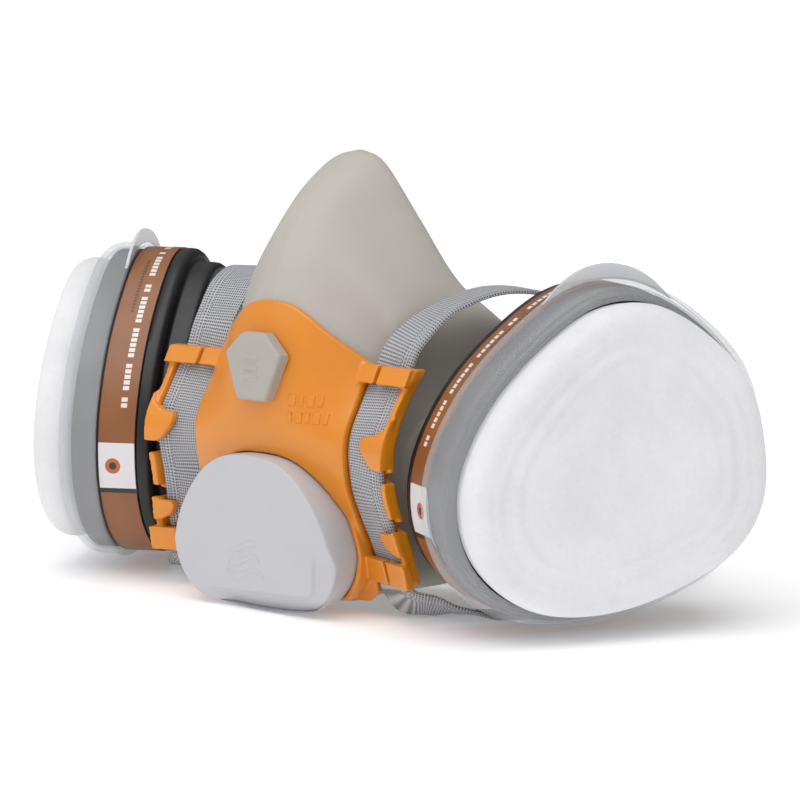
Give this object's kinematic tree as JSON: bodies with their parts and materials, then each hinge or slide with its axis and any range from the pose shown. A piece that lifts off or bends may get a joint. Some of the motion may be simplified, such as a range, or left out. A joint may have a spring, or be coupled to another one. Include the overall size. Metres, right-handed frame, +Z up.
{
  "type": "respirator",
  "caption": "Reusable half-mask respirator with a rubber facepiece, moulded front frame, covered exhalation valve, bayonet gas cartridges with clip-on prefilters and a strap harness.",
  "frame": {"origin": "centre of the plan box, on the table that the mask stands on", "axes": "+X towards the wearer's left, -Y the way the mask faces, +Z up"},
  "size_m": [0.2744, 0.2166, 0.1432],
  "materials": {
    "face_rubber": "matte warm grey moulded rubber with a fine satin skin",
    "frame_orange": "satin orange moulded polypropylene",
    "cover_grey": "cool light grey moulded plastic, finely sparked",
    "plug_grey": "warm grey moulded plastic",
    "black_plastic": "satin black moulded plastic",
    "label": null,
    "clear_plastic": "clear, slightly frosted thermoplastic",
    "felt": "white needle-punched non-woven filter felt",
    "carbon": "packed activated carbon granules",
    "silicone": "translucent cream silicone",
    "webbing": "grey woven elastic webbing",
    "dark_plastic": "dark grey moulded plastic"
  },
  "bodies": {
    "mask": {"facepiece": "face_rubber", "front_frame": "frame_orange", "size_plug": "plug_grey", "exhalation_valve_seat": "black_plastic", "inhalation_port_left": "frame_orange", "inhalation_port_right": "frame_orange", "port_lock_ring_left": "black_plastic", "port_lock_ring_right": "black_plastic", "port_gasket_left": "black_plastic", "port_gasket_right": "black_plastic", "strap_left": "webbing", "strap_right": "webbing", "head_cradle": "dark_plastic", "neck_clasp_hook": "dark_plastic", "neck_clasp_loop": "dark_plastic"},
    "exhalation_flap": {"exhalation_valve_disc": "silicone"},
    "valve_cover": {"valve_cover": "cover_grey"},
    "cartridge_left": {"cartridge_back_left": "black_plastic", "cartridge_body_left": "black_plastic", "label_band_left": "label", "carbon_bed_left": "carbon", "dust_screen_left": "felt", "retaining_grid_left": "black_plastic"},
    "retainer_left": {"retainer_cap_left": "clear_plastic", "prefilter_pad_left": "felt"},
    "inhalation_flap_left": {"inhalation_valve_disc_left": "silicone"},
    "slider_left": {"strap_slider_left": "dark_plastic"},
    "cartridge_right": {"cartridge_back_right": "black_plastic", "cartridge_body_right": "black_plastic", "label_band_right": "label", "carbon_bed_right": "carbon", "dust_screen_right": "felt", "retaining_grid_right": "black_plastic"},
    "retainer_right": {"retainer_cap_right": "clear_plastic", "prefilter_pad_right": "felt"},
    "inhalation_flap_right": {"inhalation_valve_disc_right": "silicone"},
    "slider_right": {"strap_slider_right": "dark_plastic"}
  },
  "joints": [
    {"name": "valve_cover_pull", "type": "slide", "parent": "mask", "child": "valve_cover", "axis": [0, -1, 0], "range_m": [0, 0.02]},
    {"name": "exhalation_flap_lift", "type": "slide", "parent": "mask", "child": "exhalation_flap", "axis": [0, -0.9986, -0.0523], "range_m": [0, 0.0015], "stiffness_N_per_m": 30},
    {"name": "cartridge_twist_left", "type": "hinge", "parent": "mask", "child": "cartridge_left", "pos_m": [0.05511, -0.06116, 0.04572], "axis": [0.8829, -0.4695, 0], "range_deg": [0, 26]},
    {"name": "retainer_pull_left", "type": "slide", "parent": "cartridge_left", "child": "retainer_left", "axis": [0.8829, -0.4695, 0], "range_m": [0, 0.02]},
    {"name": "inhalation_flap_lift_left", "type": "slide", "parent": "mask", "child": "inhalation_flap_left", "axis": [-0.8829, 0.4695, 0], "range_m": [0, 0.0015], "stiffness_N_per_m": 30},
    {"name": "strap_slider_slide_left", "type": "slide", "parent": "mask", "child": "slider_left", "axis": [0, 1, 0], "range_m": [-0.006, 0.006]},
    {"name": "cartridge_twist_right", "type": "hinge", "parent": "mask", "child": "cartridge_right", "pos_m": [-0.05511, -0.06116, 0.04572], "axis": [0.8829, 0.4695, 0], "range_deg": [0, 26]},
    {"name": "retainer_pull_right", "type": "slide", "parent": "cartridge_right", "child": "retainer_right", "axis": [-0.8829, -0.4695, 0], "range_m": [0, 0.02]},
    {"name": "inhalation_flap_lift_right", "type": "slide", "parent": "mask", "child": "inhalation_flap_right", "axis": [0.8829, 0.4695, 0], "range_m": [0, 0.0015], "stiffness_N_per_m": 30},
    {"name": "strap_slider_slide_right", "type": "slide", "parent": "mask", "child": "slider_right", "axis": [0, 1, 0], "range_m": [-0.006, 0.006]}
  ]
}
